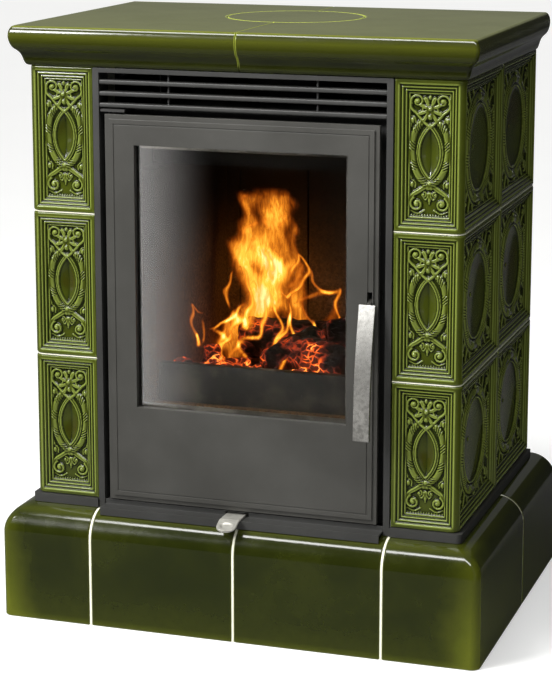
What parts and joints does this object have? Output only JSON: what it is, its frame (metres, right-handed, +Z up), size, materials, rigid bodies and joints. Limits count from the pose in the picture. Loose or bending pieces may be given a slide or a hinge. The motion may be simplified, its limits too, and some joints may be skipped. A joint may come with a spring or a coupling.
{
  "type": "tiled stove",
  "caption": "Green-glazed relief-tiled wood stove: ceramic base and moulded top, hinged glass door with bar handle, air grille and sliding air lever.",
  "frame": {"origin": "centre of the footprint box, on the floor", "axes": "+Z up; the door faces -Y; +X is to the right of someone facing the door"},
  "size_m": [0.758, 0.59, 0.916],
  "materials": {
    "tile_glaze": "glossy translucent olive-green lead-type glaze over relief",
    "top_glaze": "glossy olive-green glaze",
    "base_glaze": "glossy dark green glaze, lighter where it thins over the shoulder",
    "cement": "matt joint cement",
    "front_metal": "satin dark grey heat-proof paint on sheet steel",
    "door_paint": "satin dark grey heat-proof paint",
    "firebox_steel": "matt black heat-proof paint on plate steel",
    "cast_iron": "dark cast surface with ash dust",
    "bare_steel": "plain rolled or galvanised steel",
    "handle_steel": "brushed stainless steel",
    "lever_steel": "brushed stainless steel",
    "fireclay": "pressed vermiculite, sooted",
    "rope": "woven glass-fibre rope",
    "fire_glass": "clear ceramic glass"
  },
  "bodies": {
    "stove": {"corner_tile_left_1": "tile_glaze", "side_tile_left_1": "tile_glaze", "corner_tile_left_2": "tile_glaze", "side_tile_left_2": "tile_glaze", "corner_tile_left_3": "tile_glaze", "side_tile_left_3": "tile_glaze", "corner_tile_right_1": "tile_glaze", "side_tile_right_1": "tile_glaze", "corner_tile_right_2": "tile_glaze", "side_tile_right_2": "tile_glaze", "corner_tile_right_3": "tile_glaze", "side_tile_right_3": "tile_glaze", "top_half_left": "top_glaze", "top_half_right": "top_glaze", "base_corner_left": "base_glaze", "base_middle_left": "base_glaze", "base_rear_left": "base_glaze", "base_corner_right": "base_glaze", "base_middle_right": "base_glaze", "base_rear_right": "base_glaze", "base_cement_front_left": "cement", "base_cement_side_left": "cement", "base_cement_front_right": "cement", "base_cement_side_right": "cement", "base_cement_middle": "cement", "tile_cement_left": "cement", "tile_cement_right": "cement", "plinth_tray": "front_metal", "front_frame": "front_metal", "air_grille": "front_metal", "sill": "front_metal", "firebox_body": "firebox_steel", "flue_collar": "firebox_steel", "smoke_box": "firebox_steel", "rear_flue_outlet": "firebox_steel", "back_panel": "firebox_steel", "base_stand": "firebox_steel", "grate": "cast_iron", "log_guard": "cast_iron", "latch_keeper": "bare_steel", "hinge_pin_top": "bare_steel", "hinge_pin_bottom": "bare_steel", "ash_pan": "bare_steel", "flue_blank": "bare_steel", "lining_left": "fireclay", "lining_right": "fireclay", "lining_back": "fireclay", "baffle": "fireclay", "hearth_lining": "fireclay"},
    "door": {"door_frame": "door_paint", "door_glass": "fire_glass", "glass_retainer": "bare_steel", "door_rope": "rope", "latch_bracket": "bare_steel"},
    "handle": {"handle_grip": "handle_steel", "latch_lever": "bare_steel"},
    "air_control": {"air_lever": "lever_steel", "air_gate": "bare_steel"},
    "cover": {"flue_cover": "top_glaze"}
  },
  "joints": [
    {"name": "door_hinge", "type": "hinge", "parent": "stove", "child": "door", "pos_m": [-0.2, -0.2305, 0.49], "axis": [0, 0, -1], "range_deg": [0, 110]},
    {"name": "handle_pivot", "type": "hinge", "parent": "door", "child": "handle", "pos_m": [0.1995, -0.2302, 0.53], "axis": [-1, 0, 0], "range_deg": [0, 30]},
    {"name": "air_slide", "type": "slide", "parent": "stove", "child": "air_control", "axis": [0, -1, 0], "range_m": [0, 0.04]},
    {"name": "flue_cover_lift", "type": "slide", "parent": "stove", "child": "cover", "axis": [0, 0, 1], "range_m": [0, 0.06]}
  ]
}
